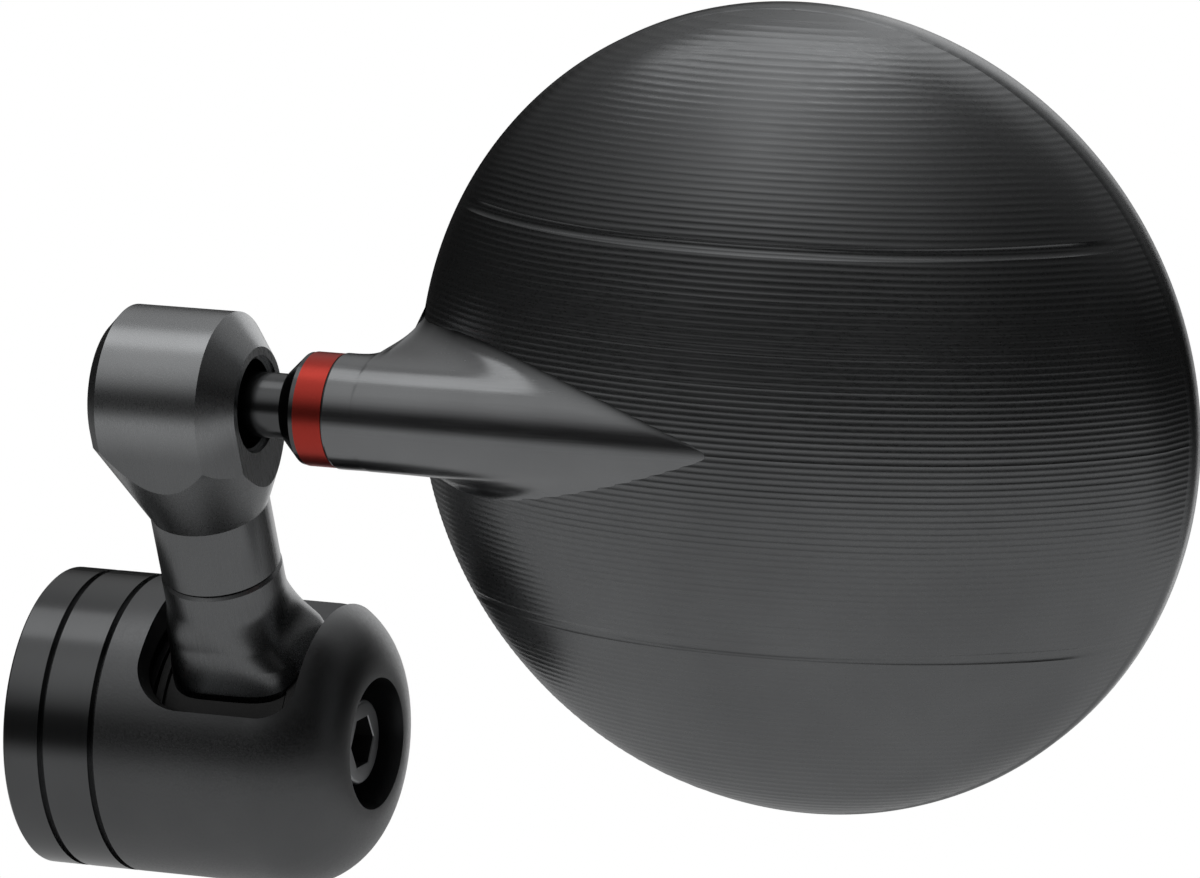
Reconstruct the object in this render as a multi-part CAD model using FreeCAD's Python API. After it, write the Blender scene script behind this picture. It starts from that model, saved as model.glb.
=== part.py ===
import FreeCAD, Part
import math
import os

os.makedirs("parts", exist_ok=True)

V = FreeCAD.Vector
X_DIR = V(1, 0, 0)
Y_DIR = V(0, 1, 0)
Z_DIR = V(0, 0, 1)
ORIGIN = V(0, 0, 0)

# Frame: origin at the centre of the face against the bar, +X outward along the bar axis, +Z up.
# The glass faces +Y, the domed back faces -Y.

# Rest pose
arm_lean = 21.5
mirror_lean = 2.3

# Clearances
running_gap = 0.05
seat_gap = 0.02
thread_gap = 0.05
assembly_gap = 0.15

# Base: two rings and the housing, all turned to one radius
base_radius = 17.5
bar_ring_width = 4.5
housing_ring_width = 5.65
groove_width = 0.8
groove_depth = 0.8
housing_length = 28.25
dome_corner = 9.5
cavity_radius = 14.3
end_wall = 6.0
edge_break = 0.3

# Clamp screw and its well
screw_radius = 3.0
screw_head_radius = 5.0
screw_head_height = 4.0
screw_hex_flats = 5.0
screw_hex_depth = 2.6
screw_tip_gap = 1.2
screw_head_recess = 1.8
screw_head_chamfer = 0.35
washer_radius = 6.3
washer_thickness = 1.2
well_radius = 7.75
hub_wall = 1.65
hub_clearance = 0.3
hub_setback = 1.2

# Sleeve nut inside the rings
nut_barrel_radius = 5.9
nut_flange_radius = 9.0
nut_flange_thickness = 2.5
nut_tip_gap = 0.6
bar_thread_radius = 4.0
bar_thread_depth = 8.0

# Friction stack beside the drum
backing_washer_thickness = 0.8
friction_washer_thickness = 0.9
spring_room = 4.3
stack_radius = 12.6
spring_radius = 12.3
spring_thickness = 0.8
spring_count = 3

# Window in the housing through which the stem swings
window_bar_margin = 4.15
window_end_margin = 4.4
window_front_angle = 70.5
window_back_angle = 38.0
window_corner_bar = 6.0
window_corner_end = 4.0
window_floor_radius = 12.2

# Foot of the arm
stem_offset = 6.4
drum_radius = 12.3
bush_wall = 1.2
bush_setback = 0.3
sleeve_radius = 7.1
sleeve_top = 23.2
sleeve_chamfer = 0.35
shoulder_top = 19.6
shoulder_height = 14.9
shoulder_half = 8.2
shoulder_reach = 10.6
shoulder_sink = 0.5
shoulder_corner = 2.5

# Head of the arm
arm_length = 46.1
stem_radius = 7.0
spigot_radius = 4.5
spigot_length = 8.0
spigot_bottom_gap = 0.5
cone_drop = 14.3
cone_half_angle = 23.5
block_radius = 10.4
block_bar_length = 7.1
block_end_length = 5.5
bar_chamfer_axial = 1.7
bar_chamfer_radial = 1.8
end_chamfer_axial = 3.15
end_chamfer_radial = 3.8
block_depth = 16.0

# Swivel fastenings
grub_radius = 2.0
grub_height = 18.6
grub_hex_flats = 2.0
grub_hex_depth = 1.6
grub_recess = 0.6
grub_groove_depth = 0.9
grub_groove_width = 4.4
o_ring_section = 0.75
o_ring_height = 22.0

# Ball joint
ball_radius = 5.5
neck_radius = 3.75
ball_bore_radius = 5.65
ball_bore_depth = 14.85
ring_recess = 0.75
ring_start = 0.9
ring_throat_station = 3.4
ring_mouth_radius = 5.15
rear_seat_start = 0.6
rear_seat_length = 4.3
rear_seat_hole = 2.0
seat_spring_thickness = 0.5
seat_spring_hole = 2.4

# Stud collar, red ring and shank
collar_start = 13.2
collar_small_radius = 4.4
collar_cone = 2.1
collar_land = 0.5
collar_radius = 6.45
accent_width = 3.5
accent_radius = 6.55
shank_radius = 4.0
shank_length = 13.0
shank_end_gap = 0.5

# Mirror shell: stalk, web and domed disc
stalk_radius = 6.65
stalk_edge = 0.3
stalk_reach = 2.8
stalk_stop = 8.1
disc_radius = 47.0
crown_share = 1.66
crown_slope_angle = 18.0
flank_share = 1.0
flank_slope_angle = 45.0
brow_share = 0.313
brow_slope_angle = 75.0
dome_edge_lift = 0.12
dome_front = 7.3
rim_chamfer_depth = 0.9
rim_depth = 3.2
shell_wall = 3.0
ledge_width = 2.8
web_inset = 1.0
stalk_grub_along = 4.0

# Two shallow grooves across the back
groove_share = 0.49
score_radius = 0.65
score_margin = 2.6

# Glass
glass_thickness = 2.0
glass_edge_gap = 0.3
glass_inset = 0.2
adhesive_thickness = 0.5
bezel = 2.2


def solid_of(shape):
    """Return a shape as one cleaned solid when it holds a single one."""
    clean = shape.removeSplitter()
    if len(clean.Solids) == 1:
        return clean.Solids[0]
    return clean


def turned(points, axis_point, axis):
    """Revolve a closed outline of points about an axis."""
    wire = Part.makePolygon(points + [points[0]])
    return Part.Face(wire).revolve(axis_point, axis, 360)


def turned_x(profile):
    """Revolve (x, r) pairs about the bar axis."""
    return turned([V(x, 0, r) for x, r in profile], ORIGIN, X_DIR)


def turned_z(profile):
    """Revolve (z, r) pairs about the stem axis of the local frame."""
    return turned([V(r, 0, z) for z, r in profile], ORIGIN, Z_DIR)


def ring_x(x0, x1, inner, outer):
    """Make a plain ring about the bar axis."""
    return turned_x([(x0, inner), (x1, inner), (x1, outer), (x0, outer)])


def rod(start, direction, radius, length):
    """Make a cylinder from a point along a direction."""
    return Part.makeCylinder(radius, length, start, direction)


def hex_prism(start, direction, flats, length):
    """Make a hexagonal prism along a direction."""
    corner = flats / 2 / math.cos(math.radians(30))
    turn = FreeCAD.Rotation(Z_DIR, direction)
    points = []
    for k in range(6):
        angle = math.radians(60 * k + 30)
        points.append(start + turn.multVec(V(corner * math.cos(angle), corner * math.sin(angle), 0)))
    face = Part.Face(Part.makePolygon(points + [points[0]]))
    return face.extrude(direction * length)


def arm_place(shape):
    """Move a shape from the arm's own frame to the rest pose."""
    copy = shape.copy()
    turn = FreeCAD.Rotation(X_DIR, arm_lean)
    copy.Placement = FreeCAD.Placement(V(stem_station, 0, 0), turn).multiply(copy.Placement)
    return copy


def head_place(shape):
    """Move a shape from the ball's frame, stem upright, to the rest pose."""
    copy = shape.copy()
    copy.translate(V(0, 0, arm_length))
    return arm_place(copy)


def mirror_place(shape):
    """Move a shape from the mirror's frame at the ball centre to the rest pose."""
    copy = shape.copy()
    centre = FreeCAD.Rotation(X_DIR, arm_lean).multVec(V(0, 0, arm_length)) + V(stem_station, 0, 0)
    turn = FreeCAD.Rotation(X_DIR, mirror_lean)
    copy.Placement = FreeCAD.Placement(centre, turn).multiply(copy.Placement)
    return copy


def save(shape, name):
    """Write one node as STEP."""
    shape.exportStep("parts/" + name + ".step")


# Stations along the bar axis
x_ring_joint = bar_ring_width + groove_width
x_housing = x_ring_joint + housing_ring_width + groove_width
x_end = x_housing + housing_length
x_wall = x_end - end_wall
x_head_face = x_end - screw_head_recess
x_head_seat = x_head_face - screw_head_height
x_well_floor = x_head_seat - washer_thickness
hub_radius = well_radius + hub_wall
x_drum_end = x_wall - friction_washer_thickness - 2 * running_gap
stack_start = x_housing + backing_washer_thickness
x_inner_washer = stack_start + spring_room
x_drum = x_inner_washer + friction_washer_thickness + running_gap
drum_width = x_drum_end - x_drum
x_hub = x_drum + hub_setback
stem_station = x_drum + stem_offset
window_start = x_housing + window_bar_margin
window_length = x_end - window_end_margin - window_start
screw_length = x_head_seat - bar_thread_depth - screw_tip_gap
nut_bore = screw_radius + thread_gap
nut_clear = nut_barrel_radius + assembly_gap

# Rings
bar_ring = turned_x([
    (0, nut_flange_radius + assembly_gap),
    (nut_flange_thickness, nut_flange_radius + assembly_gap),
    (nut_flange_thickness, nut_clear),
    (x_ring_joint, nut_clear),
    (x_ring_joint, base_radius - groove_depth),
    (bar_ring_width, base_radius - groove_depth),
    (bar_ring_width, base_radius),
    (edge_break, base_radius),
    (0, base_radius - edge_break),
])
save(bar_ring, "bar_spacer_ring")

x_ring_end = x_ring_joint + housing_ring_width
housing_ring = turned_x([
    (x_ring_joint, nut_clear),
    (x_housing, nut_clear),
    (x_housing, base_radius - groove_depth),
    (x_ring_end, base_radius - groove_depth),
    (x_ring_end, base_radius),
    (x_ring_joint, base_radius),
])
save(housing_ring, "housing_spacer_ring")

# Housing: turned shell with hub and screw well, then the swing window
corner_x = x_end - dome_corner
corner_r = base_radius - dome_corner
arc_mid = V(corner_x + dome_corner * math.sin(math.radians(45)), 0,
            corner_r + dome_corner * math.cos(math.radians(45)))
hub_bore = screw_radius + hub_clearance
outline = [
    V(x_housing, 0, cavity_radius),
    V(x_wall, 0, cavity_radius),
    V(x_wall, 0, hub_radius),
    V(x_hub, 0, hub_radius),
    V(x_hub, 0, hub_bore),
    V(x_well_floor, 0, hub_bore),
    V(x_well_floor, 0, well_radius),
    V(x_end, 0, well_radius),
    V(x_end, 0, corner_r),
]
edges = [Part.LineSegment(a, b).toShape() for a, b in zip(outline[:-1], outline[1:])]
edges.append(Part.Arc(V(x_end, 0, corner_r), arc_mid, V(corner_x, 0, base_radius)).toShape())
edges.append(Part.LineSegment(V(corner_x, 0, base_radius), V(x_housing, 0, base_radius)).toShape())
edges.append(Part.LineSegment(V(x_housing, 0, base_radius), V(x_housing, 0, cavity_radius)).toShape())
housing = Part.Face(Part.Wire(edges)).revolve(ORIGIN, X_DIR, 360)

window_end = window_start + window_length
window_top = base_radius + groove_depth
pane = Part.Face(Part.makePolygon([
    V(window_start, 0, window_floor_radius),
    V(window_end, 0, window_floor_radius),
    V(window_end, 0, window_top),
    V(window_start, 0, window_top),
    V(window_start, 0, window_floor_radius),
]))
window = pane.revolve(ORIGIN, X_DIR, window_front_angle + window_back_angle)
window.rotate(ORIGIN, X_DIR, -window_back_angle)


def window_edges(solid, station):
    """Pick the radial edges of the window tool at one end."""
    found = []
    for edge in solid.Edges:
        ends = [v.Point for v in edge.Vertexes]
        if len(ends) != 2:
            continue
        radii = [math.hypot(p.y, p.z) for p in ends]
        at_station = all(abs(p.x - station) < 1e-6 for p in ends)
        if at_station and abs(radii[0] - radii[1]) > 1e-3:
            found.append(edge)
    return found


window = window.makeFillet(window_corner_bar, window_edges(window, window_start))
window = window.makeFillet(window_corner_end, window_edges(window, window_end))
housing = solid_of(housing.cut(window))
save(housing, "bar_end_housing")

# Clamp screw, washer and sleeve nut
screw = turned_x([
    (x_head_seat - screw_length, 0),
    (x_head_seat - screw_length, screw_radius - edge_break),
    (x_head_seat - screw_length + edge_break, screw_radius),
    (x_head_seat, screw_radius),
    (x_head_seat, screw_head_radius),
    (x_head_face - screw_head_chamfer, screw_head_radius),
    (x_head_face, screw_head_radius - screw_head_chamfer),
    (x_head_face, 0),
])
screw = screw.cut(hex_prism(V(x_head_face - screw_hex_depth, 0, 0), X_DIR, screw_hex_flats, screw_hex_depth))
save(solid_of(screw), "clamp_screw")

save(ring_x(x_well_floor, x_head_seat, screw_radius + hub_clearance, washer_radius), "screw_washer")

x_nut_tip = x_hub - nut_tip_gap
sleeve_nut = turned_x([
    (0, bar_thread_radius),
    (bar_thread_depth, bar_thread_radius),
    (bar_thread_depth, nut_bore),
    (x_nut_tip, nut_bore),
    (x_nut_tip, nut_barrel_radius),
    (nut_flange_thickness, nut_barrel_radius),
    (nut_flange_thickness, nut_flange_radius),
    (0, nut_flange_radius),
])
save(sleeve_nut, "hub_nut")

# Friction stack
save(ring_x(x_housing, x_housing + backing_washer_thickness, nut_clear, stack_radius), "backing_washer")
save(ring_x(x_inner_washer, x_inner_washer + friction_washer_thickness, nut_clear, stack_radius),
     "inner_friction_washer")
save(ring_x(x_drum_end + running_gap, x_wall - running_gap, hub_radius + assembly_gap, stack_radius),
     "outer_friction_washer")

stack_pitch = (x_inner_washer - stack_start) / spring_count
spring_rise = stack_pitch - spring_thickness - seat_gap
springs = []
for k in range(spring_count):
    x0 = stack_start + k * stack_pitch + seat_gap / 2
    lift_inner = spring_rise if k % 2 == 0 else 0.0
    lift_outer = spring_rise - lift_inner
    springs.append(turned_x([
        (x0 + lift_inner, nut_clear),
        (x0 + lift_inner + spring_thickness, nut_clear),
        (x0 + lift_outer + spring_thickness, spring_radius),
        (x0 + lift_outer, spring_radius),
    ]))
save(Part.makeCompound(springs), "disc_springs")

def oval(left, right, half, power, height):
    """Closed smooth outline across the stem, round at power 2 and squarer above."""
    points = []
    for k in range(48):
        angle = 2 * math.pi * k / 48
        c = math.cos(angle)
        s = math.sin(angle)
        x = math.copysign(abs(c) ** (2 / power), c)
        y = math.copysign(abs(s) ** (2 / power), s)
        points.append(V((left + right) / 2 + x * (right - left) / 2, y * half, height))
    curve = Part.BSplineCurve()
    curve.interpolate(points, PeriodicFlag=True)
    return Part.Wire(curve.toShape())


# Arm foot in the arm's frame: drum, shoulder and sleeve
drum_left = x_drum - stem_station
bush_radius = hub_radius + running_gap + bush_wall
spigot_bottom = sleeve_top - spigot_length
neck = turned_z([
    (0, 0),
    (0, sleeve_radius),
    (sleeve_top - sleeve_chamfer, sleeve_radius),
    (sleeve_top, sleeve_radius - sleeve_chamfer),
    (sleeve_top, 0),
])
top_radius = sleeve_radius - shoulder_sink
neck = neck.fuse(Part.makeLoft([
    oval(-top_radius, shoulder_reach, shoulder_half, 4, shoulder_height),
    oval(-top_radius, top_radius, top_radius, 2, shoulder_top),
], True, True))
flanks = Part.makeBox(drum_width, 2 * shoulder_half, shoulder_height + assembly_gap,
                      V(drum_left, -shoulder_half, 0))
upright = [edge for edge in flanks.Edges if abs(edge.tangentAt(0).z) > 0.9]
neck = neck.fuse(flanks.makeFillet(shoulder_corner, upright))
stack_clear = stack_radius + 2 * assembly_gap
neck = neck.cut(rod(V(drum_left - housing_length, 0, 0), X_DIR, stack_clear, housing_length))
neck = neck.cut(rod(V(drum_left + drum_width, 0, 0), X_DIR, stack_clear, housing_length))
foot = rod(V(drum_left, 0, 0), X_DIR, drum_radius, drum_width).fuse(neck)
foot = foot.cut(rod(V(drum_left, 0, 0), X_DIR, bush_radius + seat_gap, drum_width))
foot = foot.cut(rod(V(0, 0, spigot_bottom - spigot_bottom_gap), Z_DIR, spigot_radius + running_gap,
                    spigot_length + spigot_bottom_gap))
foot = foot.cut(rod(V(0, 0, grub_height), Y_DIR, grub_radius + thread_gap, 2 * sleeve_radius))
save(arm_place(solid_of(foot)), "arm_foot")

bush_left = max(x_drum + bush_setback, x_hub + bush_setback)
bush_right = x_drum_end - bush_setback
save(ring_x(bush_left, bush_right, hub_radius + running_gap, bush_radius), "foot_bush")

grub_tip = spigot_radius - grub_groove_depth + 2 * assembly_gap
grub_end = sleeve_radius - grub_recess
swivel_grub = rod(V(0, grub_tip, grub_height), Y_DIR, grub_radius, grub_end - grub_tip)
swivel_grub = swivel_grub.cut(hex_prism(V(0, grub_end - grub_hex_depth, grub_height), Y_DIR,
                                        grub_hex_flats, grub_hex_depth))
save(arm_place(solid_of(swivel_grub)), "swivel_grub_screw")

# Arm head in the arm's frame: spigot, stem, cone and block
cone_start = arm_length - cone_drop
groove_floor = spigot_radius - grub_groove_depth
o_ring_floor = spigot_radius + running_gap - 2 * o_ring_section
head = turned_z([
    (spigot_bottom, 0),
    (spigot_bottom, spigot_radius - edge_break),
    (spigot_bottom + edge_break, spigot_radius),
    (grub_height - grub_groove_width / 2, spigot_radius),
    (grub_height - grub_groove_width / 2, groove_floor),
    (grub_height + grub_groove_width / 2, groove_floor),
    (grub_height + grub_groove_width / 2, spigot_radius),
    (o_ring_height - o_ring_section, spigot_radius),
    (o_ring_height - o_ring_section, o_ring_floor),
    (o_ring_height + o_ring_section, o_ring_floor),
    (o_ring_height + o_ring_section, spigot_radius),
    (sleeve_top + running_gap, spigot_radius),
    (sleeve_top + running_gap, stem_radius - edge_break),
    (sleeve_top + running_gap + edge_break, stem_radius),
    (arm_length - block_radius / 2, stem_radius),
    (arm_length - block_radius / 2, 0),
])


def arch(x, radius):
    """Outline of the block across its axis: half round on top, straight flanks below."""
    top = V(x, 0, arm_length + radius)
    right = V(x, radius, arm_length)
    left = V(x, -radius, arm_length)
    low_right = V(x, radius, arm_length - block_depth)
    low_left = V(x, -radius, arm_length - block_depth)
    return Part.Wire([
        Part.LineSegment(low_left, left).toShape(),
        Part.Arc(left, top, right).toShape(),
        Part.LineSegment(right, low_right).toShape(),
        Part.LineSegment(low_right, low_left).toShape(),
    ])


block = Part.makeLoft([
    arch(-block_bar_length - bar_chamfer_axial, block_radius - bar_chamfer_radial),
    arch(-block_bar_length, block_radius),
], True, True)
block = block.fuse(Part.makeLoft([arch(-block_bar_length, block_radius), arch(block_end_length, block_radius)],
                                 True, True))
block = block.fuse(Part.makeLoft([
    arch(block_end_length, block_radius),
    arch(block_end_length + end_chamfer_axial, block_radius - end_chamfer_radial),
], True, True))
cone_reach = 2 * block_radius
cone_rise = (cone_reach - stem_radius) / math.tan(math.radians(cone_half_angle))
envelope = turned_z([
    (cone_start, 0),
    (cone_start, stem_radius),
    (cone_start + cone_rise, cone_reach),
    (arm_length + cone_reach, cone_reach),
    (arm_length + cone_reach, 0),
])
block = block.common(envelope)
head = solid_of(head.fuse(block))
x_block_end = block_end_length + end_chamfer_axial
head = head.cut(rod(V(x_block_end - ball_bore_depth, 0, arm_length), X_DIR, ball_bore_radius, ball_bore_depth))
save(arm_place(solid_of(head)), "arm_head")

o_ring = Part.makeTorus(o_ring_floor + o_ring_section + seat_gap, o_ring_section - 2 * seat_gap,
                        V(0, 0, o_ring_height), Z_DIR)
save(arm_place(o_ring), "swivel_o_ring")

# Ball joint pieces in the ball's frame
seat_ball = Part.makeSphere(ball_radius + running_gap)
seat_radius = ball_bore_radius - seat_gap
x_bore_floor = x_block_end - ball_bore_depth
rear_seat = ring_x(-rear_seat_start - rear_seat_length, -rear_seat_start, rear_seat_hole, seat_radius)
rear_seat = solid_of(rear_seat.cut(seat_ball))
save(head_place(rear_seat), "ball_rear_seat")

x_rear = -rear_seat_start - rear_seat_length
spring_lift = x_rear - x_bore_floor - seat_spring_thickness - 2 * seat_gap
seat_spring = turned_x([
    (x_bore_floor + seat_gap, seat_spring_hole),
    (x_bore_floor + seat_gap + seat_spring_thickness, seat_spring_hole),
    (x_bore_floor + seat_gap + spring_lift + seat_spring_thickness, seat_radius),
    (x_bore_floor + seat_gap + spring_lift, seat_radius),
])
save(head_place(seat_spring), "ball_seat_spring")

x_ring_face = x_block_end - ring_recess
ring_throat = math.sqrt((ball_radius + running_gap) ** 2 - ring_throat_station ** 2)
mouth_ring = turned_x([
    (ring_start, ring_throat),
    (ring_throat_station, ring_throat),
    (x_ring_face, ring_mouth_radius),
    (x_ring_face, seat_radius),
    (ring_start, seat_radius),
])
mouth_ring = solid_of(mouth_ring.cut(seat_ball))
save(head_place(mouth_ring), "ball_retaining_ring")

# Stud: ball, neck, collar and shank, along the stalk axis
x_collar_end = collar_start + collar_cone + collar_land
x_stalk = x_collar_end + accent_width
x_shank_end = x_collar_end + shank_length
groove_x = x_stalk + stalk_grub_along
shank_floor = shank_radius - grub_groove_depth
neck_start = math.sqrt(ball_radius ** 2 - neck_radius ** 2)
stud_profile = [
    (neck_start, neck_radius),
    (collar_start, neck_radius),
    (collar_start, collar_small_radius),
    (collar_start + collar_cone, collar_radius),
    (x_collar_end, collar_radius),
    (x_collar_end, shank_radius),
    (groove_x - grub_groove_width / 2, shank_radius),
    (groove_x - grub_groove_width / 2, shank_floor),
    (groove_x + grub_groove_width / 2, shank_floor),
    (groove_x + grub_groove_width / 2, shank_radius),
    (x_shank_end - edge_break, shank_radius),
    (x_shank_end, shank_radius - edge_break),
    (x_shank_end, 0),
    (-ball_radius, 0),
]
stud_line = Part.makePolygon([V(x, 0, r) for x, r in stud_profile])
ball_arc = Part.Arc(V(-ball_radius, 0, 0), V(0, 0, ball_radius), V(neck_start, 0, neck_radius)).toShape()
stud = solid_of(Part.Face(Part.Wire([ball_arc] + stud_line.Edges)).revolve(ORIGIN, X_DIR, 360))
save(mirror_place(stud), "ball_stud")

save(mirror_place(ring_x(x_collar_end + running_gap, x_stalk, shank_radius + running_gap, accent_radius)),
     "accent_ring")

# Mirror shell in the mirror's frame
dome_arcs = [(crown_share, crown_slope_angle), (flank_share, flank_slope_angle), (brow_share, brow_slope_angle)]


def dome_points(inset):
    """Start, middle and end of each arc of the dome's profile as (r, drop) pairs, set in by a wall."""
    found = []
    r, drop, before = 0.0, 0.0, 0.0
    for share, slope in dome_arcs:
        radius = share * disc_radius
        after = math.radians(slope)
        arc = []
        for tilt in (before, (before + after) / 2, after):
            mid_r = r + radius * (math.sin(tilt) - math.sin(before))
            mid_drop = drop + radius * (math.cos(before) - math.cos(tilt))
            arc.append((mid_r - inset * math.sin(tilt), mid_drop + inset * math.cos(tilt)))
        found.append(arc)
        r += radius * (math.sin(after) - math.sin(before))
        drop += radius * (math.cos(before) - math.cos(after))
        before = after
    return found


def dome_drop(distance):
    """How far the dome lies behind its top at a distance from the disc axis."""
    r, drop, before = 0.0, 0.0, 0.0
    for share, slope in dome_arcs:
        radius = share * disc_radius
        after = math.radians(slope)
        end = r + radius * (math.sin(after) - math.sin(before))
        if distance <= end:
            tilt = math.asin(math.sin(before) + (distance - r) / radius)
            return drop + radius * (math.cos(before) - math.cos(tilt))
        drop += radius * (math.cos(before) - math.cos(after))
        r = end
        before = after
    return drop


dome_height = dome_points(0)[-1][-1][1] + dome_edge_lift
disc_along = x_stalk + stalk_reach + disc_radius
disc_behind = dome_height - dome_front
stalk_embed = disc_along - x_stalk - stalk_stop
disc_centre = V(disc_along, disc_behind, 0)
y_glass_side = disc_centre.y + rim_depth
back = V(0, 1, 0)


def dome_body(inset, close_by):
    """Revolve the dome's arcs and a closing line of (r, y) pairs about the disc axis."""
    edges = []
    for arc in dome_points(inset):
        points = [disc_centre + V(r, drop - dome_height, 0) for r, drop in arc]
        edges.append(Part.Arc(*points).toShape())
    last_r, last_drop = dome_points(inset)[-1][-1]
    line = [(last_r, last_drop - dome_height)] + close_by + [(0, inset - dome_height)]
    edges += Part.makePolygon([disc_centre + V(r, y, 0) for r, y in line]).Edges
    return Part.Face(Part.Wire(edges)).revolve(disc_centre, back, 360)


disc = dome_body(0, [
    (disc_radius, rim_chamfer_depth - dome_edge_lift),
    (disc_radius, rim_depth),
    (0, rim_depth),
])
stalk = turned_x([
    (x_stalk, 0),
    (x_stalk, stalk_radius - stalk_edge),
    (x_stalk + stalk_edge, stalk_radius),
    (x_stalk + stalk_embed, stalk_radius),
    (x_stalk + stalk_embed, 0),
])
web = Part.makeBox(x_stalk + stalk_embed, disc_behind, 2 * stalk_radius, V(0, 0, -stalk_radius))
web = web.common(rod(disc_centre + V(0, -2 * dome_height, 0), back, disc_radius - web_inset,
                     2 * dome_height + rim_depth))
web = web.common(Part.makeBox(x_stalk + stalk_embed, 2 * disc_radius, 2 * disc_radius,
                              V(0, -disc_radius, -disc_radius)))
shell = solid_of(disc.fuse(stalk).fuse(web))

# Pocket behind the glass, ledge, bezel and the bore for the shank
recess_radius = disc_radius - bezel
ledge_radius = recess_radius - ledge_width
recess_depth = glass_thickness + adhesive_thickness + glass_inset
ledge_y = y_glass_side - recess_depth
shell = shell.cut(rod(V(disc_centre.x, ledge_y, disc_centre.z), back, recess_radius, recess_depth))
wall_end = dome_points(shell_wall)[-1][-1][0]
pocket = dome_body(shell_wall, [(wall_end, rim_depth), (0, rim_depth)])
pocket = pocket.common(rod(disc_centre + V(0, -dome_height, 0), back, ledge_radius,
                           ledge_y - disc_centre.y + dome_height))
pocket = pocket.cut(rod(V(0, 0, 0), X_DIR, stalk_radius, disc_along))
shell = shell.cut(pocket)
shell = shell.cut(rod(V(x_stalk, 0, 0), X_DIR, shank_radius + running_gap,
                      shank_length - accent_width + shank_end_gap))
shell = shell.cut(rod(V(groove_x, 0, 0), Y_DIR, grub_radius + thread_gap, 2 * stalk_radius))
for height in (groove_share * disc_radius, -groove_share * disc_radius):
    reach = math.sqrt((disc_radius - score_margin) ** 2 - height ** 2)
    course = []
    for k in range(-6, 7):
        x = reach * k / 6
        course.append(disc_centre + V(x, dome_drop(math.hypot(x, height)) - dome_height, height))
    line = Part.BSplineCurve()
    line.interpolate(course)
    edge = line.toShape()
    tool = Part.Wire(Part.makeCircle(score_radius, course[0], edge.tangentAt(edge.FirstParameter)))
    shell = shell.cut(Part.Wire(edge).makePipeShell([tool], True, True))
save(mirror_place(solid_of(shell)), "mirror_shell")

grub2_tip = shank_floor + 2 * assembly_gap
grub2_end = stalk_radius - grub_recess
stalk_grub = rod(V(groove_x, grub2_tip, 0), Y_DIR, grub_radius, grub2_end - grub2_tip)
stalk_grub = stalk_grub.cut(hex_prism(V(groove_x, grub2_end - grub_hex_depth, 0), Y_DIR,
                                      grub_hex_flats, grub_hex_depth))
save(mirror_place(solid_of(stalk_grub)), "stalk_grub_screw")

# Glass and its adhesive
glass_radius = recess_radius - glass_edge_gap
adhesive = rod(V(disc_centre.x, ledge_y, disc_centre.z), back, glass_radius, adhesive_thickness)
adhesive = adhesive.cut(rod(V(disc_centre.x, ledge_y, disc_centre.z), back, ledge_radius, adhesive_thickness))
save(mirror_place(adhesive), "glass_adhesive_ring")
glass = rod(V(disc_centre.x, ledge_y + adhesive_thickness, disc_centre.z), back, glass_radius, glass_thickness)
save(mirror_place(glass), "mirror_glass")
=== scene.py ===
"""Visual model of a motorcycle bar-end mirror, seen from its domed back."""
import logging
import math
from dataclasses import dataclass
from enum import Enum
from typing import Optional

import bpy
import numpy as np
from mathutils import Matrix, Vector


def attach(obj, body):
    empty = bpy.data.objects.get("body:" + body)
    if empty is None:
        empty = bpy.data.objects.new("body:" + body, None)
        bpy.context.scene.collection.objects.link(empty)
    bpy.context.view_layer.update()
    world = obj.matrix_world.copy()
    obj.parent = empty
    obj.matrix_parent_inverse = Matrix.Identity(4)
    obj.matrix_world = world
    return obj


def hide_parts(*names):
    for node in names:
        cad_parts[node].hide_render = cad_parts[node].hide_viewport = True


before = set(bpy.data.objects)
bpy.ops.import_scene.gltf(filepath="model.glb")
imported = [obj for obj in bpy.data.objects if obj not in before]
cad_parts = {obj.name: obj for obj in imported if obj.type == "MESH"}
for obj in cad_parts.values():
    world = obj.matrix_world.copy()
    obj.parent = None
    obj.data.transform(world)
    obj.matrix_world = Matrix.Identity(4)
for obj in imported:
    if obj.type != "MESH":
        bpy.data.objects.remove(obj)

LOG = logging.getLogger("mirror_scene")
MM = 0.001
Socket = bpy.types.NodeSocket
# Marks per metre of the grain and the blotches of every finish, and the grain's share of its depth
GRAIN_MARKS = 9000.0
BLOTCH_MARKS = 60.0
GRAIN_SHARE = 0.4
LEAST_ROUGH = 0.02


class Lay(Enum):
    """Direction of the fine marks that a finish carries."""

    GRAIN = "grain"
    ALONG_X = "along x"
    ALONG_STEM = "along stem"
    ROUND_X = "round x"


@dataclass(frozen=True)
class Pose:
    """A turn about X followed by a move, from a local frame to the shared frame.

    Args:
        lean: Turn about X in degrees.
        origin: Place of the local origin in mm.
    """

    lean: float
    origin: tuple[float, float, float]

    def apply(self, points: np.ndarray) -> np.ndarray:
        """Carry points to the shared frame.

        Args:
            points: Array of mm whose last axis is x, y, z.

        Returns:
            Array of the same shape in metres.
        """
        c = math.cos(math.radians(self.lean))
        s = math.sin(math.radians(self.lean))
        turn = np.array([[1.0, 0.0, 0.0], [0.0, c, -s], [0.0, s, c]])
        return (points @ turn.T + np.array(self.origin)) * MM


ARM_LEAN = 21.5
MIRROR_LEAN = 2.3
STEM_STATION = 24.2
ARM_LENGTH = 46.1
BALL_CENTRE = (
    STEM_STATION,
    -ARM_LENGTH * math.sin(math.radians(ARM_LEAN)),
    ARM_LENGTH * math.cos(math.radians(ARM_LEAN)),
)
BASE_POSE = Pose(0.0, (0.0, 0.0, 0.0))
ARM_POSE = Pose(ARM_LEAN, (STEM_STATION, 0.0, 0.0))
MIRROR_POSE = Pose(MIRROR_LEAN, BALL_CENTRE)
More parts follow.
